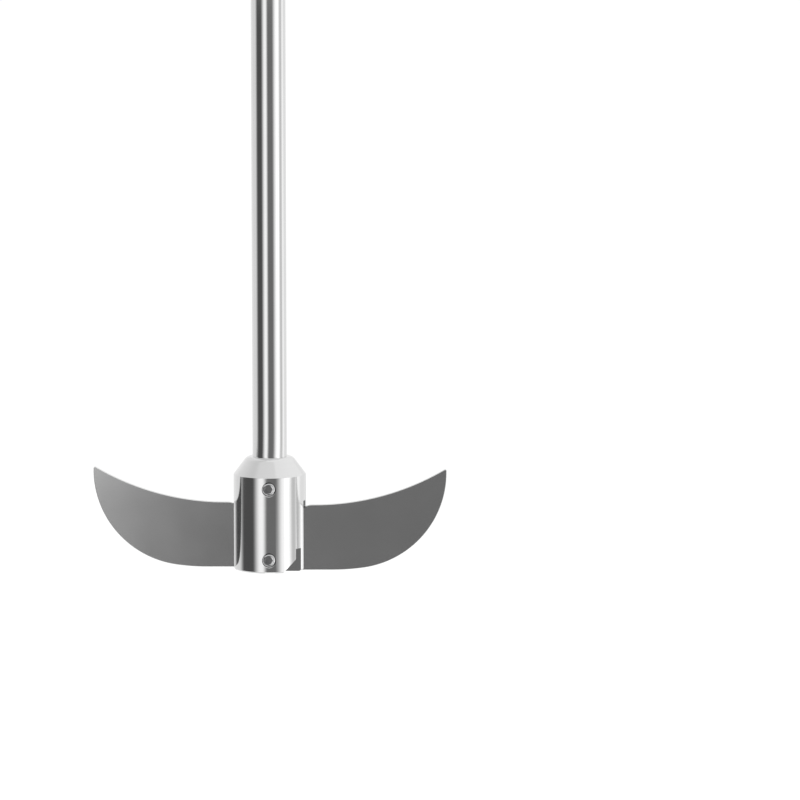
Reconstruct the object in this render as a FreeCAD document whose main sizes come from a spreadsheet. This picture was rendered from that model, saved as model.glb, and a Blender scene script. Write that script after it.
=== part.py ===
import FreeCAD, Part
import math
import os
import Sketcher

# Folding mixing paddle: a straight shaft in a slotted hub, with a pair of flat curved
# blades that hang folded below the hub and swing out as the shaft turns.
# Millimetres. +Z runs up the shaft and -Y is the front. The origin is the centre of the
# hub's lower face. In this pose the blades stand open, to the right and to the left.

Vector = FreeCAD.Vector
Rotation = FreeCAD.Rotation
Placement = FreeCAD.Placement

# Driving dimensions: each is a size of its own that can be changed by itself
SIZES = (
    # the ground bar that the drive's chuck holds, and the spigot turned on its foot
    ("shaft_diameter", 10.0),
    ("overall_length", 350.0),
    ("shaft_edge", 0.8),
    ("spigot_diameter", 8.0),
    ("spigot_edge", 0.5),
    ("bore_depth", 11.0),
    # the turned hub, a barrel with a coned nose
    ("hub_diameter", 21.0),
    ("nose_length", 5.2),
    ("nose_rim", 1.6),
    ("nose_round", 2.4),
    ("shoulder_round", 0.15),
    ("hub_edge", 0.4),
    ("floor_web", 1.7),
    ("web_thickness", 3.8),
    ("slot_corner", 1.5),
    # the corner milled off the front of each cheek
    ("relief_plane", 5.25),
    ("relief_side", 7.7),
    ("relief_height", 6.75),
    ("relief_knee", 3.7),
    # the blades, cut from sheet; heights are above the lower edge
    ("blade_thickness", 1.5),
    ("pivot_height", 3.8),
    ("tang_radius", 3.8),
    ("blade_depth", 19.1),
    ("heel_reach", 10.7),
    ("heel_radius", 4.3),
    ("crest_flat", 2.4),
    ("tip_reach", 51.3),
    ("tip_height", 29.7),
    ("keel_length", 18.2),
    ("sweep_radius", 64.0),
    ("sweep_angle", 8.2),
    ("tip_round", 0.4),
    ("blade_edge", 0.12),
    # how far the blades swing down from open, in degrees
    ("fold_angle", 105.0),
    # the socket screws
    ("screw_diameter", 4.0),
    ("dog_step", 0.5),
    ("dog_end_gap", 0.4),
    ("screw_recess", 0.3),
    ("screw_rim", 0.55),
    ("rim_depth", 0.28),
    ("screw_edge", 0.35),
    ("mouth_edge", 0.15),
    ("socket_size", 2.0),
    ("socket_depth", 1.8),
    ("socket_lip", 0.2),
    ("socket_dish", 0.33),
    ("set_screw_rise", 2.5),
    # running and assembly clearances
    ("side_gap", 0.15),
    ("stop_gap", 0.15),
    ("roof_gap", 1.2),
    ("pivot_gap", 0.05),
    ("thread_gap", 0.02),
    ("spigot_side_gap", 0.02),
    ("spigot_end_gap", 0.3),
    # how far a cut runs past the face that it opens
    ("overrun", 1.0),
)

# Sizes worked out from the driving ones, so that what fits together stays together
DERIVED = (
    ("shaft_radius", "shaft_diameter / 2"),
    ("spigot_radius", "spigot_diameter / 2"),
    ("bore_radius", "spigot_radius + spigot_side_gap"),
    ("hub_radius", "hub_diameter / 2"),
    ("nose_radius", "shaft_radius + nose_rim"),
    # blade outline about its pivot
    ("keel_drop", "tang_radius"),
    ("crest_rise", "blade_depth - tang_radius"),
    ("tip_rise", "tip_height - tang_radius"),
    ("crest_start", "heel_reach + crest_flat"),
    ("blade_bore", "screw_diameter / 2 - dog_step + pivot_gap"),
    # slots, each a blade and its side gaps wide
    ("slot_width", "blade_thickness + 2 * side_gap"),
    ("web_half", "web_thickness / 2"),
    ("blade_offset", "web_half + slot_width / 2"),
    ("cheek_inner", "web_half + slot_width"),
    ("slot_roof", "pivot_height + crest_rise + roof_gap"),
    ("fold_reach", "(tang_radius - pivot_height * cos(fold_angle)) / sin(fold_angle)"),
    ("slot_end", "max(tang_radius; fold_reach) + stop_gap"),
    ("slot_mouth", "hub_radius + overrun"),
    # heights up the hub
    ("bore_floor", "slot_roof + floor_web"),
    ("hub_length", "bore_floor + bore_depth"),
    ("shoulder_height", "hub_length - nose_length"),
    ("set_screw_height", "bore_floor + set_screw_rise"),
    ("spigot_foot", "bore_floor + spigot_end_gap"),
    ("spigot_length", "hub_length - spigot_foot"),
    ("shaft_length", "overall_length - spigot_foot"),
    ("relief_foot", "relief_side - relief_knee - overrun"),
    # screws and the stepped holes that take them
    ("screw_radius", "screw_diameter / 2"),
    ("dog_radius", "screw_radius - dog_step"),
    ("tapped_radius", "screw_radius + thread_gap"),
    ("web_bore", "dog_radius + thread_gap"),
    ("mouth_start", "hub_radius - mouth_edge"),
    ("mouth_end", "hub_radius + overrun"),
    ("mouth_radius", "tapped_radius + mouth_edge + overrun"),
    ("screw_face", "hub_radius - screw_recess"),
    ("set_screw_length", "screw_face - spigot_radius - thread_gap"),
    ("pivot_stem", "screw_face - cheek_inner"),
    ("pivot_length", "screw_face - dog_end_gap"),
    ("set_hole_start", "spigot_radius / 2"),
    ("socket_corner", "socket_size / sqrt(3)"),
    ("socket_mouth", "socket_corner + socket_lip"),
    ("face_radius", "screw_radius - screw_rim"),
)

NODES = (
    "shaft",
    "hub",
    "front_blade",
    "rear_blade",
    "front_pivot_screw",
    "rear_pivot_screw",
    "front_set_screw",
    "rear_set_screw",
)

START, END, CENTRE = 1, 2, 3
ORIGIN = (-1, 1)
HALF_TURN = 180.0
FULL_TURN = 360.0
HEX_SIDES = 6
MATCH = 1e-4

doc = FreeCAD.newDocument("mixing_paddle")
sheet = doc.addObject("Spreadsheet::Sheet", "Sizes")


def fill_sheet():
    """Name, value and alias of every size, one row each."""
    rows = [(name, str(value)) for name, value in SIZES]
    rows += [(name, "=" + formula) for name, formula in DERIVED]
    for row, (name, content) in enumerate(rows, start=1):
        sheet.set(f"A{row}", name)
        sheet.set(f"B{row}", content)
        sheet.setAlias(f"B{row}", name)
    doc.recompute()


def size(name):
    """A size from the sheet as a plain number; a leading minus sign turns it round."""
    sign = -1.0 if name.startswith("-") else 1.0
    return sign * float(getattr(sheet, name.lstrip("-")))


def cell(name):
    """The same size as an expression."""
    return name.replace("-", "-Sizes.") if name.startswith("-") else "Sizes." + name


def new_body(name):
    body = doc.addObject("PartDesign::Body", name)
    body.Label = name
    return body


def origin_part(body, role):
    """One of a body's own origin planes or axes."""
    return next(item for item in body.Origin.OriginFeatures if item.Role == role)


def new_sketch(body, name, plane):
    sketch = body.newObject("Sketcher::SketchObject", name)
    sketch.AttachmentSupport = (origin_part(body, plane), [""])
    sketch.MapMode = "FlatFace"
    return sketch


def hold(sketch, kind, geometry, value_name, factor=""):
    """Add a constraint whose value is a size from the sheet."""
    number = size(value_name)
    if kind == "Angle":
        number = math.radians(number)
    index = sketch.addConstraint(Sketcher.Constraint(kind, *geometry, number))
    sketch.setExpression(f"Constraints[{index}]", cell(value_name) + factor)


def closed_profile(sketch, corners):
    """Straight-sided closed outline. A corner is a pair of size names, "" on an axis."""
    points = [Vector(*(size(name) if name else 0.0 for name in corner), 0) for corner in corners]
    count = len(points)
    for here in range(count):
        after = points[(here + 1) % count]
        sketch.addGeometry(Part.LineSegment(points[here], after), False)
    for here in range(count):
        sketch.addConstraint(
            Sketcher.Constraint("Coincident", here, END, (here + 1) % count, START)
        )
    for line, (across, up) in enumerate(corners):
        if across or up:
            for kind, name, axis in (("DistanceX", across, -2), ("DistanceY", up, -1)):
                if name:
                    hold(sketch, kind, (line, START), name)
                else:
                    on_axis = Sketcher.Constraint("PointOnObject", line, START, axis)
                    sketch.addConstraint(on_axis)
        else:
            sketch.addConstraint(Sketcher.Constraint("Coincident", line, START, *ORIGIN))


def turned(body, name, corners):
    """Solid of revolution from a half section, given as radius and height."""
    sketch = new_sketch(body, name + "_section", "XZ_Plane")
    closed_profile(sketch, corners)
    feature = body.newObject("PartDesign::Revolution", name)
    feature.Profile = sketch
    feature.ReferenceAxis = (sketch, ["V_Axis"])
    feature.Angle = FULL_TURN
    return feature


def edges_where(shape, test):
    """Names of the edges that pass a test, as dress-up features want them."""
    return [f"Edge{n}" for n, edge in enumerate(shape.Edges, start=1) if test(edge)]


def dress(body, kind, name, base, parts, size_name):
    """Fillet or chamfer of the named edges or faces of a feature."""
    feature = body.newObject("PartDesign::" + kind, name)
    feature.Base = (base, parts)
    feature.setExpression("Radius" if kind == "Fillet" else "Size", cell(size_name))
    doc.recompute()
    return feature


def is_ring(edge, radius, height):
    """Whether an edge is a full circle about the hub's axis at that height."""
    curve = edge.Curve
    return (
        isinstance(curve, Part.Circle)
        and abs(curve.Radius - radius) < MATCH
        and abs(curve.Center.z - height) < MATCH
        and math.hypot(curve.Center.x, curve.Center.y) < MATCH
    )


def make_shaft():
    """Ground bar with a spigot in the hub's bore. Its shoulder sits on top of the hub."""
    body = new_body("shaft")
    bar = turned(
        body,
        "bar",
        (
            ("", ""),
            ("spigot_radius", ""),
            ("spigot_radius", "spigot_length"),
            ("shaft_radius", "spigot_length"),
            ("shaft_radius", "shaft_length"),
            ("", "shaft_length"),
        ),
    )
    doc.recompute()
    foot = edges_where(bar.Shape, lambda edge: is_ring(edge, size("spigot_radius"), 0.0))
    lead_in = dress(body, "Chamfer", "spigot_end", bar, foot, "spigot_edge")
    top = edges_where(
        lead_in.Shape,
        lambda edge: is_ring(edge, size("shaft_radius"), size("shaft_length")),
    )
    dress(body, "Chamfer", "bar_end", lead_in, top, "shaft_edge")
    body.setExpression("Placement.Base.z", cell("spigot_foot"))


def slot_pocket(body):
    """Slot of the front blade: open to the right and below, with a rounded inner corner."""
    sketch = new_sketch(body, "slot_outline", "XZ_Plane")
    sketch.setExpression("AttachmentOffset.Base.z", cell("blade_offset"))
    left, right = -size("slot_end"), size("slot_mouth")
    low, high = -size("overrun"), size("slot_roof")
    corner = size("slot_corner")
    centre = Vector(left + corner, high - corner, 0)
    upright = Vector(0, 0, 1)
    quarter = Part.ArcOfCircle(Part.Circle(centre, upright, corner), math.pi / 2, math.pi)
    floor, mouth, roof, turn, wall = range(5)
    for piece in (
        Part.LineSegment(Vector(left, low, 0), Vector(right, low, 0)),
        Part.LineSegment(Vector(right, low, 0), Vector(right, high, 0)),
        Part.LineSegment(Vector(right, high, 0), Vector(left + corner, high, 0)),
        quarter,
        Part.LineSegment(Vector(left, high - corner, 0), Vector(left, low, 0)),
    ):
        sketch.addGeometry(piece, False)
    for kind, *ends in (
        ("Coincident", floor, END, mouth, START),
        ("Coincident", mouth, END, roof, START),
        ("Tangent", roof, END, turn, START),
        ("Tangent", turn, END, wall, START),
        ("Coincident", wall, END, floor, START),
        ("Horizontal", floor),
        ("Horizontal", roof),
        ("Vertical", mouth),
        ("Vertical", wall),
    ):
        sketch.addConstraint(Sketcher.Constraint(kind, *ends))
    hold(sketch, "DistanceX", (floor, START), "-slot_end")
    hold(sketch, "DistanceY", (floor, START), "-overrun")
    hold(sketch, "DistanceX", (roof, START), "slot_mouth")
    hold(sketch, "DistanceY", (roof, START), "slot_roof")
    hold(sketch, "Radius", (turn,), "slot_corner")
    pocket = body.newObject("PartDesign::Pocket", "blade_slot")
    pocket.Profile = sketch
    pocket.SideType = "Symmetric"
    pocket.setExpression("Length", cell("slot_width"))
    return pocket


def relief_pocket(body):
    """Flat milled across the lower right corner of the front cheek, with a sloping edge."""
    sketch = new_sketch(body, "relief_outline", "XZ_Plane")
    sketch.setExpression("AttachmentOffset.Base.z", cell("relief_plane"))
    closed_profile(
        sketch,
        (
            ("relief_foot", "-overrun"),
            ("mouth_end", "-overrun"),
            ("mouth_end", "relief_height"),
            ("relief_side", "relief_height"),
            ("relief_side", "relief_knee"),
        ),
    )
    pocket = body.newObject("PartDesign::Pocket", "cheek_relief")
    pocket.Profile = sketch
    pocket.Reversed = True
    pocket.setExpression("Length", cell("hub_radius"))
    return pocket


def screw_hole(body, name, height, steps):
    """Stepped round hole from the front, about a level axis at the given height.
    Its steps are pairs of distance from the hub's axis and radius."""
    sketch = new_sketch(body, name + "_section", "YZ_Plane")
    sketch.AttachmentOffset = Placement(Vector(), Rotation(Vector(0, 1, 0), HALF_TURN))
    sketch.setExpression("AttachmentOffset.Base.y", cell(height))
    closed_profile(sketch, steps)
    groove = body.newObject("PartDesign::Groove", name)
    groove.Profile = sketch
    groove.ReferenceAxis = (sketch, ["H_Axis"])
    groove.Angle = FULL_TURN
    return groove


def make_hub():
    """Turned, bored and slotted. What is cut from the front is cut again from the rear."""
    body = new_body("hub")
    blank = turned(
        body,
        "blank",
        (
            ("", ""),
            ("hub_radius", ""),
            ("hub_radius", "shoulder_height"),
            ("nose_radius", "hub_length"),
            ("bore_radius", "hub_length"),
            ("bore_radius", "bore_floor"),
            ("", "bore_floor"),
        ),
    )
    doc.recompute()
    rim = edges_where(
        blank.Shape, lambda edge: is_ring(edge, size("nose_radius"), size("hub_length"))
    )
    nose = dress(body, "Fillet", "nose_rounding", blank, rim, "nose_round")
    shoulder = edges_where(
        nose.Shape, lambda edge: is_ring(edge, size("hub_radius"), size("shoulder_height"))
    )
    barrel = dress(body, "Fillet", "shoulder_rounding", nose, shoulder, "shoulder_round")
    foot = edges_where(barrel.Shape, lambda edge: is_ring(edge, size("hub_radius"), 0.0))
    dress(body, "Chamfer", "foot_edge", barrel, foot, "hub_edge")

    cuts = [
        slot_pocket(body),
        relief_pocket(body),
        screw_hole(
            body,
            "set_screw_hole",
            "set_screw_height",
            (
                ("set_hole_start", ""),
                ("set_hole_start", "tapped_radius"),
                ("mouth_start", "tapped_radius"),
                ("mouth_end", "mouth_radius"),
                ("mouth_end", ""),
            ),
        ),
        screw_hole(
            body,
            "pivot_hole",
            "pivot_height",
            (
                ("", ""),
                ("", "web_bore"),
                ("blade_offset", "web_bore"),
                ("blade_offset", "tapped_radius"),
                ("mouth_start", "tapped_radius"),
                ("mouth_end", "mouth_radius"),
                ("mouth_end", ""),
            ),
        ),
    ]
    doc.recompute()
    both_sides = body.newObject("PartDesign::PolarPattern", "both_sides")
    both_sides.Originals = cuts
    both_sides.Axis = (origin_part(body, "Z_Axis"), [""])
    both_sides.Angle = FULL_TURN
    both_sides.Occurrences = 2
    body.Tip = both_sides


def blade_outline(sketch):
    """Outline about the pivot. A round tang leads to a straight keel, which sweeps up in
    two arcs to the tip; the crest runs back as one arc and a short flat to the heel."""
    tang, drop, rise = size("tang_radius"), size("keel_drop"), size("crest_rise")
    keel_end = Vector(size("keel_length"), -drop, 0)
    tip = Vector(size("tip_reach"), size("tip_rise"), 0)
    crest_start = Vector(size("crest_start"), rise, 0)
    heel = Vector(size("heel_reach"), rise, 0)
    upright = Vector(0, 0, 1)

    def arc(centre, radius, first, last):
        return Part.ArcOfCircle(Part.Circle(centre, upright, radius), first, last)

    def arc_centre(point, normal, through):
        """Centre of the arc that leaves a point square to a normal and passes another."""
        chord = through - point
        return point + normal * (chord.dot(chord) / (2 * chord.dot(normal)))

    def bearing(centre, point):
        return math.atan2(point.y - centre.y, point.x - centre.x)

    slope = math.atan2(heel.y, heel.x) - math.asin(tang / heel.Length)
    tang_top = Vector(-math.sin(slope), math.cos(slope), 0) * tang
    sweep = math.radians(size("sweep_angle"))
    below = -math.pi / 2
    sweep_centre = keel_end + Vector(0, size("sweep_radius"), 0)
    inward = Vector(-math.sin(sweep), math.cos(sweep), 0)
    belly_start = sweep_centre - inward * size("sweep_radius")
    belly_centre = arc_centre(belly_start, inward, tip)
    crest_centre = arc_centre(crest_start, Vector(0, 1, 0), tip)
    belly_radius = (tip - belly_centre).Length
    crest_radius = (tip - crest_centre).Length

    round_end, keel, sweep_arc, belly, crest, flat, slant, bore = range(8)
    for piece in (
        arc(Vector(), tang, slope + math.pi / 2, 2 * math.pi + below),
        Part.LineSegment(Vector(0, -drop, 0), keel_end),
        arc(sweep_centre, size("sweep_radius"), below, below + sweep),
        arc(belly_centre, belly_radius, below + sweep, bearing(belly_centre, tip)),
        arc(crest_centre, crest_radius, below, bearing(crest_centre, tip)),
        Part.LineSegment(crest_start, heel),
        Part.LineSegment(heel, tang_top),
        Part.Circle(Vector(), upright, size("blade_bore")),
    ):
        sketch.addGeometry(piece, False)
    for kind, *ends in (
        ("Coincident", round_end, CENTRE, *ORIGIN),
        ("Coincident", bore, CENTRE, *ORIGIN),
        ("Tangent", round_end, END, keel, START),
        ("Horizontal", keel),
        ("Tangent", keel, END, sweep_arc, START),
        ("Tangent", sweep_arc, END, belly, START),
        ("Coincident", belly, END, crest, END),
        ("Tangent", crest, START, flat, START),
        ("Horizontal", flat),
        ("Coincident", flat, END, slant, START),
        ("Tangent", slant, END, round_end, START),
    ):
        sketch.addConstraint(Sketcher.Constraint(kind, *ends))
    hold(sketch, "Radius", (round_end,), "tang_radius")
    hold(sketch, "Radius", (bore,), "blade_bore")
    hold(sketch, "DistanceX", (keel, END), "keel_length")
    hold(sketch, "Radius", (sweep_arc,), "sweep_radius")
    hold(sketch, "Angle", (sweep_arc,), "sweep_angle", " * 1 deg")
    hold(sketch, "DistanceX", (belly, END), "tip_reach")
    hold(sketch, "DistanceY", (belly, END), "tip_rise")
    hold(sketch, "DistanceX", (flat, START), "crest_start")
    hold(sketch, "DistanceX", (flat, END), "heel_reach")
    hold(sketch, "DistanceY", (flat, END), "crest_rise")


def corner_edges(shape, across, up):
    """Edges through the sheet's thickness at one corner of the blade's outline."""
    return edges_where(
        shape,
        lambda edge: all(
            abs(vertex.X - across) < MATCH and abs(vertex.Z - up) < MATCH
            for vertex in edge.Vertexes
        ),
    )


def make_blade(name, turn):
    """Flat blade cut from sheet, hung on its pivot. The rear one is the front one turned
    half a turn about the shaft."""
    body = new_body(name)
    sketch = new_sketch(body, name + "_outline", "XZ_Plane")
    blade_outline(sketch)
    sheet_metal = body.newObject("PartDesign::Pad", name + "_sheet")
    sheet_metal.Profile = sketch
    sheet_metal.SideType = "Symmetric"
    sheet_metal.setExpression("Length", cell("blade_thickness"))
    doc.recompute()
    heel = corner_edges(sheet_metal.Shape, size("heel_reach"), size("crest_rise"))
    rounded = dress(body, "Fillet", name + "_heel", sheet_metal, heel, "heel_radius")
    tip = corner_edges(rounded.Shape, size("tip_reach"), size("tip_rise"))
    tipped = dress(body, "Fillet", name + "_tip", rounded, tip, "tip_round")
    half = size("blade_thickness") / 2
    faces = [
        f"Face{n}"
        for n, face in enumerate(tipped.Shape.Faces, start=1)
        if abs(abs(face.CenterOfMass.y) - half) < MATCH
    ]
    dress(body, "Chamfer", name + "_edges", tipped, faces, "blade_edge")
    body.Placement = Placement(Vector(), Rotation(Vector(0, 0, 1), turn))
    body.setExpression("Placement.Base.y", cell("blade_offset" if turn else "-blade_offset"))
    body.setExpression("Placement.Base.z", cell("pivot_height"))


def hexagon(sketch, corner_radius):
    """Regular hexagon about the origin, with a corner on the sketch's level axis."""
    radius = size(corner_radius)
    corners = [
        Vector(radius * math.cos(turn), radius * math.sin(turn), 0)
        for turn in (2 * math.pi * side / HEX_SIDES for side in range(HEX_SIDES))
    ]
    for side in range(HEX_SIDES):
        after = (side + 1) % HEX_SIDES
        sketch.addGeometry(Part.LineSegment(corners[side], corners[after]), False)
    ring = sketch.addGeometry(Part.Circle(Vector(), Vector(0, 0, 1), radius), True)
    sketch.addConstraint(Sketcher.Constraint("Coincident", ring, CENTRE, *ORIGIN))
    hold(sketch, "Radius", (ring,), corner_radius)
    for side in range(HEX_SIDES):
        after = (side + 1) % HEX_SIDES
        sketch.addConstraint(Sketcher.Constraint("Coincident", side, END, after, START))
        if side:
            sketch.addConstraint(Sketcher.Constraint("PointOnObject", side, START, ring))
            sketch.addConstraint(Sketcher.Constraint("Equal", 0, side))
    hold(sketch, "DistanceX", (0, START), corner_radius)
    sketch.addConstraint(Sketcher.Constraint("PointOnObject", 0, START, -1))


def make_screw(name, height, rear, steps):
    """Socket screw, turned about its own axis from its outer face inwards. The face has
    a sloping rim and is dished round the socket."""
    body = new_body(name)
    blank = turned(body, name + "_blank", steps)
    doc.recompute()
    tip_radius, tip_place = size(steps[-2][0]), size(steps[-1][1])
    inner = edges_where(blank.Shape, lambda edge: is_ring(edge, tip_radius, tip_place))
    dress(body, "Chamfer", name + "_tip_edge", blank, inner, "screw_edge")
    sketch = new_sketch(body, name + "_socket_outline", "XY_Plane")
    hexagon(sketch, "socket_corner")
    socket = body.newObject("PartDesign::Pocket", name + "_socket")
    socket.Profile = sketch
    socket.Reversed = True
    socket.setExpression("Length", cell("socket_depth"))
    section = new_sketch(body, name + "_dish_section", "XZ_Plane")
    closed_profile(section, (("", ""), ("socket_mouth", ""), ("", "socket_dish")))
    dish = body.newObject("PartDesign::Groove", name + "_dish")
    dish.Profile = section
    dish.ReferenceAxis = (section, ["V_Axis"])
    dish.Angle = FULL_TURN
    quarter = 90.0 if rear else -90.0
    body.Placement = Placement(Vector(), Rotation(Vector(1, 0, 0), quarter))
    body.setExpression("Placement.Base.y", cell("screw_face" if rear else "-screw_face"))
    body.setExpression("Placement.Base.z", cell(height))


def make_screws():
    """A set screw bears on the spigot. A pivot screw carries a blade on its plain dog, which
    runs on into the web between the slots."""
    set_steps = (
        ("", ""),
        ("face_radius", ""),
        ("screw_radius", "rim_depth"),
        ("screw_radius", "set_screw_length"),
        ("", "set_screw_length"),
    )
    pivot_steps = (
        ("", ""),
        ("face_radius", ""),
        ("screw_radius", "rim_depth"),
        ("screw_radius", "pivot_stem"),
        ("dog_radius", "pivot_stem"),
        ("dog_radius", "pivot_length"),
        ("", "pivot_length"),
    )
    for side, rear in (("front", False), ("rear", True)):
        make_screw(side + "_set_screw", "set_screw_height", rear, set_steps)
        make_screw(side + "_pivot_screw", "pivot_height", rear, pivot_steps)


def write_parts():
    """Check every object of the document, then write one file for each sub-part."""
    doc.recompute()
    for item in doc.Objects:
        faults = [state for state in item.State if state in ("Invalid", "Error")]
        if faults:
            raise RuntimeError(f"{item.Name} is {faults}")
    shapes = {}
    for name in NODES:
        shape = doc.getObject(name).Shape
        if shape.isNull() or not shape.isValid() or len(shape.Solids) != 1:
            raise RuntimeError(f"{name} has no single valid solid")
        shapes[name] = shape
    os.makedirs("parts", exist_ok=True)
    for name, shape in shapes.items():
        shape.exportStep(f"parts/{name}.step")
        box = shape.optimalBoundingBox(True, False)
        print(
            f"{name}: {shape.Volume:.2f} mm3,"
            f" x {box.XMin:.2f} to {box.XMax:.2f},"
            f" y {box.YMin:.2f} to {box.YMax:.2f},"
            f" z {box.ZMin:.2f} to {box.ZMax:.2f}"
        )


fill_sheet()
make_shaft()
make_hub()
make_blade("front_blade", 0.0)
make_blade("rear_blade", HALF_TURN)
make_screws()
write_parts()
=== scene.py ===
import math

import bmesh
import bpy
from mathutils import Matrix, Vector

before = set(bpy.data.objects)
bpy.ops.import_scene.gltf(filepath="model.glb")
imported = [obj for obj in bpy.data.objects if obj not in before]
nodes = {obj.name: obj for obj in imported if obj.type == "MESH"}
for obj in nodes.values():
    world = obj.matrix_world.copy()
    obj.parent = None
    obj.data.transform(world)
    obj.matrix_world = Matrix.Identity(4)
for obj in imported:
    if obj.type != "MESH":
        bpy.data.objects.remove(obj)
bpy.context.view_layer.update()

# Folding mixing paddle, polished stainless steel, seen open from the front.
# Metres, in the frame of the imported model: +Z runs up the shaft, -Y is the front.

# Camera: a long lens a little above the hub, so that both blades show
IMAGE_SIDE = 800
SENSOR = 36.0
LENS = 200.0
PIXELS_PER_METRE = 3450.0
AXIS_PIXEL = 269.5
LOOK_DOWN = math.radians(7.2)
AIM_HEIGHT = 0.0493

# Steels. Tint and spread give the grey, roughness its range from the most to the least
# polished spots, grain how fine the tool marks are along each axis, depth their height.
TURNED_STEEL = {
    "tint": (0.83, 0.83, 0.83),
    "spread": 0.03,
    "roughness": (0.07, 0.1),
    "grain": (60.0, 60.0, 4200.0),
    "depth": 2e-6,
}
GROUND_STEEL = {
    "tint": (0.83, 0.83, 0.83),
    "spread": 0.03,
    "roughness": (0.06, 0.09),
    "grain": (60.0, 60.0, 5200.0),
    "depth": 2e-6,
}
ROLLED_STEEL = {
    "tint": (0.8, 0.8, 0.8),
    "spread": 0.03,
    "roughness": (0.17, 0.19),
    "grain": (80.0, 900.0, 3000.0),
    "depth": 4e-6,
}
SCREW_STEEL = {
    "tint": (0.66, 0.66, 0.665),
    "spread": 0.06,
    "roughness": (0.1, 0.16),
    "grain": (900.0, 900.0, 900.0),
    "depth": 4e-6,
}
CLOUD_SCALE = 90.0
MARK_DETAIL = 4.0
BUMP_STRENGTH = 0.5
# Part of a noise's range where most of its values lie
NOISE_MIDDLE = (0.3, 0.7)
# Radii between which painted shade darkens a screw's face towards its hole, standing in for the
# shadow in the screw's recess
SCREW_SHADE_RADII = (0.00174, 0.0019)
# Colour of that painted shade at the hole
PAINTED_SHADE_COLOUR = (0.06, 0.06, 0.06, 1.0)

# Studio: floor under the hanging paddle, and a round tent that the steel mirrors
FLOOR_HEIGHT = -0.30
FLOOR_RADIUS = 14.0
FLOOR_SIDES = 96
FLOOR_GREY = (0.53, 0.55)
FLOOR_CLOUD_SCALE = 3.0
FLOOR_LIFT = 0.62
TENT_RADIUS = 0.42
TENT_TOP = 0.37
TENT_SIDES = 120
ROOF_HOLE = 0.05
APRON_START = 0.06
APRON_LIFT = 0.004
# The cloth's brightness all round, from the back over the left, front and right. A
# direction is an angle from the front (-Y) in degrees, positive towards +X. Each step
# has its direction, how softly it changes over, the brightness after it, and how far
# round it hangs above the hub.
WALL_START = 0.92
WALL_STEPS = (
    # pale side at the left, black flag, left softbox
    (-140.0, 60.0, 0.78, 6.0),
    (-99.5, 24.0, 0.08, 14.0),
    (-42.0, 27.0, 1.08, 6.0),
    # grey cloth round the camera, right softbox with its bright middle
    (-15.0, 17.0, 0.165, 6.0),
    (30.8, 27.0, 1.1, 6.0),
    (51.0, 14.0, 1.8, 6.0),
    (61.0, 8.0, 1.15, 6.0),
    # pale card, bright side at the right
    (71.0, 16.0, 0.61, 6.0),
    (92.0, 16.0, 1.06, 6.0),
    (112.0, 14.0, 0.86, 6.0),
    (155.0, 40.0, 0.92, 6.0),
)
# Heights between which the wall's steps move over
TWIST_HEIGHTS = (-0.027, -0.021)
ROOF_START = 0.84
ROOF_STEPS = (
    (-115.0, 70.0, 0.68, 0.0),
    (-66.0, 26.0, 0.78, 0.0),
    (-20.0, 60.0, 0.80, 0.0),
    (33.0, 22.0, 0.91, 0.0),
    (85.0, 60.0, 0.94, 0.0),
    (165.0, 30.0, 0.84, 0.0),
)
# Heights between which the wall's brightness turns into the roof's
ROOF_BRIM = (0.14, 0.22)
# A low grey card at the back: the directions either way where its sides fade in, the
# heights where its top fades out, and the share of the cloth's light that it takes away
BACK_CARD_SIDES = (163.0, 174.0)
BACK_CARD_TOP = (-0.045, -0.02)
BACK_CARD_SHADE = 0.78
LAMP_SIZE = 1.6
LAMP_HEIGHT = 1.9
LAMP_WATTS = 9.0
WORLD_DIFFUSE = 0.75
WHITE = (1.0, 1.0, 1.0, 1.0)
DEGREES = math.degrees(1.0)


class Graph:
    """Short way to write a node tree: add nodes, join sockets."""

    def __init__(self, tree):
        self.tree = tree
        tree.nodes.clear()

    def add(self, kind, inputs=(), **settings):
        node = self.tree.nodes.new(kind)
        for name, value in settings.items():
            setattr(node, name, value)
        for name, value in dict(inputs).items():
            socket = node.inputs[name]
            if isinstance(value, bpy.types.NodeSocket):
                self.tree.links.new(value, socket)
            else:
                socket.default_value = value
        return node

    def math(self, operation, first, second):
        node = self.add("ShaderNodeMath", {0: first, 1: second}, operation=operation)
        return node.outputs[0]

    def without(self, share):
        """What a share between 0 and 1 leaves."""
        return self.math("SUBTRACT", 1.0, share)

    def remap(self, value, low, high):
        """Spread a noise value from the middle of its range over low to high."""
        first, last = NOISE_MIDDLE
        limits = {"From Min": first, "From Max": last, "To Min": low, "To Max": high}
        return self.add("ShaderNodeMapRange", {"Value": value, **limits}).outputs["Result"]

    def fade(self, value, first, last, height=1.0):
        """Soft step of a value: 0 at first, the given height from last on."""
        limits = {"From Min": first, "From Max": last, "To Min": 0.0, "To Max": height}
        node = self.add(
            "ShaderNodeMapRange", {"Value": value, **limits}, interpolation_type="SMOOTHSTEP"
        )
        return node.outputs["Result"]

    def own_place(self):
        return self.add("ShaderNodeTexCoord").outputs["Object"]

    def direction_and_height(self):
        """Direction in degrees round the upright axis, 0 at the front, and height."""
        axes = self.add("ShaderNodeSeparateXYZ", {"Vector": self.own_place()})
        ahead = self.math("MULTIPLY", axes.outputs["Y"], -1.0)
        turn = self.math("ARCTAN2", axes.outputs["X"], ahead)
        return self.math("MULTIPLY", turn, DEGREES), axes.outputs["Z"]

    def noise(self, vector, scale=1.0, detail=3.0):
        settings = {"Vector": vector, "Scale": scale, "Detail": detail}
        return self.add("ShaderNodeTexNoise", settings).outputs["Fac"]

    def mix(self, factor, first, second):
        colours = {"Factor": factor, "A": first, "B": second}
        return self.add("ShaderNodeMix", colours, data_type="RGBA").outputs["Result"]

    def glow(self, strength):
        return self.add("ShaderNodeEmission", {"Color": WHITE, "Strength": strength}).outputs[0]

    def surface(self, shader):
        self.add("ShaderNodeOutputMaterial", {"Surface": shader})


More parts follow.
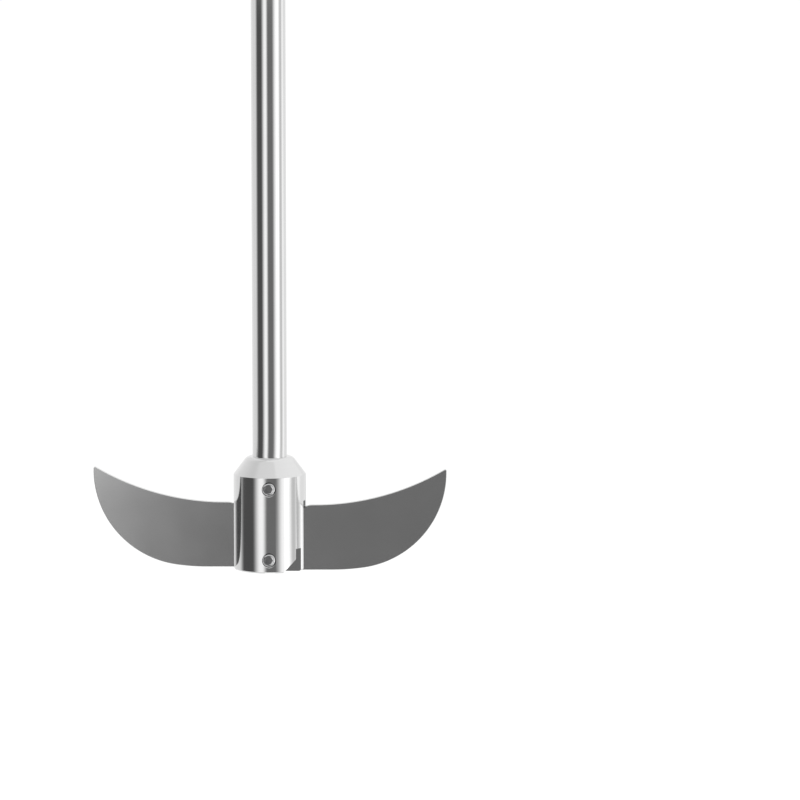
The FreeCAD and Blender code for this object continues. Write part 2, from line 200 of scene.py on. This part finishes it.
def new_material(name):
    material = bpy.data.materials.new(name)
    material.use_nodes = True
    return material, Graph(material.node_tree)


def painted_rim_shade(graph, shade, height):
    """Painted shade: a dark ring where a screw meets its hole, standing in for the shadow in
    its recess, about a level axis at the given height.
    """
    flattened = {"Scale": (1.0, 0.0, 1.0), "Location": (0.0, 0.0, -height)}
    flat = graph.add("ShaderNodeMapping", {"Vector": graph.own_place(), **flattened})
    reach = graph.add("ShaderNodeVectorMath", {0: flat.outputs[0]}, operation="LENGTH")
    painted_shade_mask = graph.fade(reach.outputs["Value"], *SCREW_SHADE_RADII)
    return graph.mix(painted_shade_mask, shade, PAINTED_SHADE_COLOUR)


def steel(name, tint, spread, roughness, grain, depth, shade_rim_height=None):
    """One of the steels above, with a ring of painted shade about the given rim height, if that
    is given.
    """
    material, graph = new_material(name)
    cloud = graph.noise(graph.own_place(), CLOUD_SCALE)
    stretched = graph.add("ShaderNodeMapping", {"Vector": graph.own_place(), "Scale": grain})
    mark = graph.noise(stretched.outputs[0], detail=MARK_DETAIL)
    average = graph.math("MULTIPLY", graph.math("ADD", cloud, mark), 0.5)
    dark = [level - spread for level in tint]
    shade = graph.mix(graph.remap(average, 0.0, 1.0), (*dark, 1.0), (*tint, 1.0))
    # painted shade: a dark ring round the screw's hole, for the shadow in its recess
    if shade_rim_height is not None:
        shade = painted_rim_shade(graph, shade, shade_rim_height)
    bump = graph.add(
        "ShaderNodeBump", {"Strength": BUMP_STRENGTH, "Distance": depth, "Height": mark}
    )
    surface = graph.add(
        "ShaderNodeBsdfPrincipled",
        {
            "Base Color": shade,
            "Metallic": 1.0,
            "Roughness": graph.remap(cloud, *roughness),
            "Normal": bump.outputs[0],
        },
    )
    graph.surface(surface.outputs[0])
    return material


def dress(names, material):
    for name in names:
        for slot in nodes[name].material_slots:
            slot.material = material


def finish_steel():
    turned = steel("turned_steel", **TURNED_STEEL)
    ground = steel("ground_steel", **GROUND_STEEL)
    rolled = steel("rolled_steel", **ROLLED_STEEL)
    dress(("hub",), turned)
    dress(("shaft",), ground)
    dress(("front_blade", "rear_blade"), rolled)
    for kind in ("set_screw", "pivot_screw"):
        pair = [name for name in nodes if name.endswith(kind)]
        heights = [corner[2] for corner in nodes[pair[0]].bound_box]
        middle = (min(heights) + max(heights)) / 2
        # the screws' steel carries a ring of painted shade round each hole
        dress(pair, steel(kind + "_steel", **SCREW_STEEL, shade_rim_height=middle))


def seen_directly(graph):
    """1 for camera, glossy and transmission rays, so that steel mirrors the white ground."""
    path = graph.add("ShaderNodeLightPath")
    either = graph.math("MAXIMUM", path.outputs["Is Camera Ray"], path.outputs["Is Glossy Ray"])
    return graph.math("MAXIMUM", either, path.outputs["Is Transmission Ray"])


def pattern(graph, direction, height, start, steps):
    """Brightness that changes all round in soft steps."""
    brightness = start
    before = start
    for middle, width, after, shift in steps:
        twist = graph.fade(height, *TWIST_HEIGHTS, shift)
        turned = graph.math("SUBTRACT", direction, twist)
        step = graph.fade(turned, middle - width / 2, middle + width / 2, after - before)
        brightness = graph.math("ADD", brightness, step)
        before = after
    return brightness


def tent_cloth():
    """Lit cloth, with the wall's pattern low down and the roof's high up. What hangs low
    at the back is behind the grey card."""
    material, graph = new_material("tent_cloth")
    direction, height = graph.direction_and_height()
    wall = pattern(graph, direction, height, WALL_START, WALL_STEPS)
    roof = pattern(graph, direction, height, ROOF_START, ROOF_STEPS)
    high = graph.fade(height, *ROOF_BRIM)
    wall_part = graph.math("MULTIPLY", wall, graph.without(high))
    roof_part = graph.math("MULTIPLY", roof, high)
    behind = graph.fade(graph.math("ABSOLUTE", direction, 0.0), *BACK_CARD_SIDES)
    under = graph.without(graph.fade(height, *BACK_CARD_TOP))
    card = graph.math("MULTIPLY", graph.math("MULTIPLY", behind, under), BACK_CARD_SHADE)
    cloth = graph.math("ADD", wall_part, roof_part)
    graph.surface(graph.glow(graph.math("MULTIPLY", cloth, graph.without(card))))
    return material


def floor_material():
    """Pale floor that renders white and keeps the paddle's soft shadow."""
    material, graph = new_material("studio_floor")
    cloud = graph.noise(graph.own_place(), FLOOR_CLOUD_SCALE)
    pale = graph.add("ShaderNodeBsdfDiffuse", {"Color": graph.remap(cloud, *FLOOR_GREY)})
    light = graph.glow(graph.math("MULTIPLY", seen_directly(graph), FLOOR_LIFT))
    both = graph.add("ShaderNodeAddShader", {0: pale.outputs[0], 1: light})
    graph.surface(both.outputs[0])
    return material


def stage_object(name, mesh_maker, material):
    """A piece of the studio, not of the paddle."""
    mesh = bpy.data.meshes.new(name)
    shape = bmesh.new()
    mesh_maker(shape)
    shape.to_mesh(mesh)
    shape.free()
    mesh.materials.append(material)
    item = bpy.data.objects.new(name, mesh)
    bpy.context.scene.collection.objects.link(item)
    return item


def make_floor():
    def disc(shape):
        bmesh.ops.create_circle(
            shape, cap_ends=True, segments=FLOOR_SIDES, radius=FLOOR_RADIUS
        )
        bmesh.ops.translate(shape, verts=shape.verts, vec=(0.0, 0.0, FLOOR_HEIGHT))

    stage_object("floor", disc, floor_material())


def make_tent():
    """Round tent, turned about the upright axis: an apron along the floor, the wall, and
    a roof with a small hole at its middle. Only mirrored rays meet it."""
    apron = FLOOR_HEIGHT + APRON_LIFT
    outline = (
        (APRON_START, apron),
        (TENT_RADIUS, apron),
        (TENT_RADIUS, TENT_TOP),
        (ROOF_HOLE, TENT_TOP),
    )

    def round_cloth(shape):
        rows = []
        for side in range(TENT_SIDES):
            turn = 2 * math.pi * side / TENT_SIDES
            places = [
                (reach * math.sin(turn), -reach * math.cos(turn), height)
                for reach, height in outline
            ]
            rows.append([shape.verts.new(place) for place in places])
        for side, here in enumerate(rows):
            after = rows[(side + 1) % TENT_SIDES]
            for low in range(len(outline) - 1):
                shape.faces.new((here[low], after[low], after[low + 1], here[low + 1]))

    tent = stage_object("tent", round_cloth, tent_cloth())
    tent.visible_camera = False
    tent.visible_diffuse = False
    tent.visible_shadow = False


def make_world():
    """White background. It lights matt surfaces a little less than it shows."""
    world = bpy.data.worlds.new("studio_world")
    bpy.context.scene.world = world
    world.use_nodes = True
    graph = Graph(world.node_tree)
    extra = graph.math("MULTIPLY", seen_directly(graph), 1.0 - WORLD_DIFFUSE)
    strength = graph.math("ADD", extra, WORLD_DIFFUSE)
    light = graph.add("ShaderNodeBackground", {"Color": WHITE, "Strength": strength})
    graph.add("ShaderNodeOutputWorld", {"Surface": light.outputs[0]})


def make_lamp():
    data = bpy.data.lights.new("overhead_lamp", "AREA")
    data.size = LAMP_SIZE
    data.energy = LAMP_WATTS
    lamp = bpy.data.objects.new("overhead_lamp", data)
    lamp.location = (0.0, 0.0, LAMP_HEIGHT)
    lamp.visible_glossy = False
    bpy.context.scene.collection.objects.link(lamp)


def make_camera():
    data = bpy.data.cameras.new("camera")
    data.sensor_width = SENSOR
    data.lens = LENS
    camera = bpy.data.objects.new("camera", data)
    bpy.context.scene.collection.objects.link(camera)
    bpy.context.scene.camera = camera
    distance = LENS / SENSOR * IMAGE_SIDE / PIXELS_PER_METRE
    aim = Vector(((IMAGE_SIDE / 2 - AXIS_PIXEL) / PIXELS_PER_METRE, 0.0, AIM_HEIGHT))
    back = Vector((0.0, -math.cos(LOOK_DOWN), math.sin(LOOK_DOWN)))
    camera.location = aim + back * distance
    camera.rotation_mode = "QUATERNION"
    camera.rotation_quaternion = (-back).to_track_quat("-Z", "Y")
    data.clip_end = 2 * FLOOR_RADIUS


finish_steel()
make_world()
make_floor()
make_tent()
make_lamp()
make_camera()
bpy.context.scene.view_settings.view_transform = "Standard"
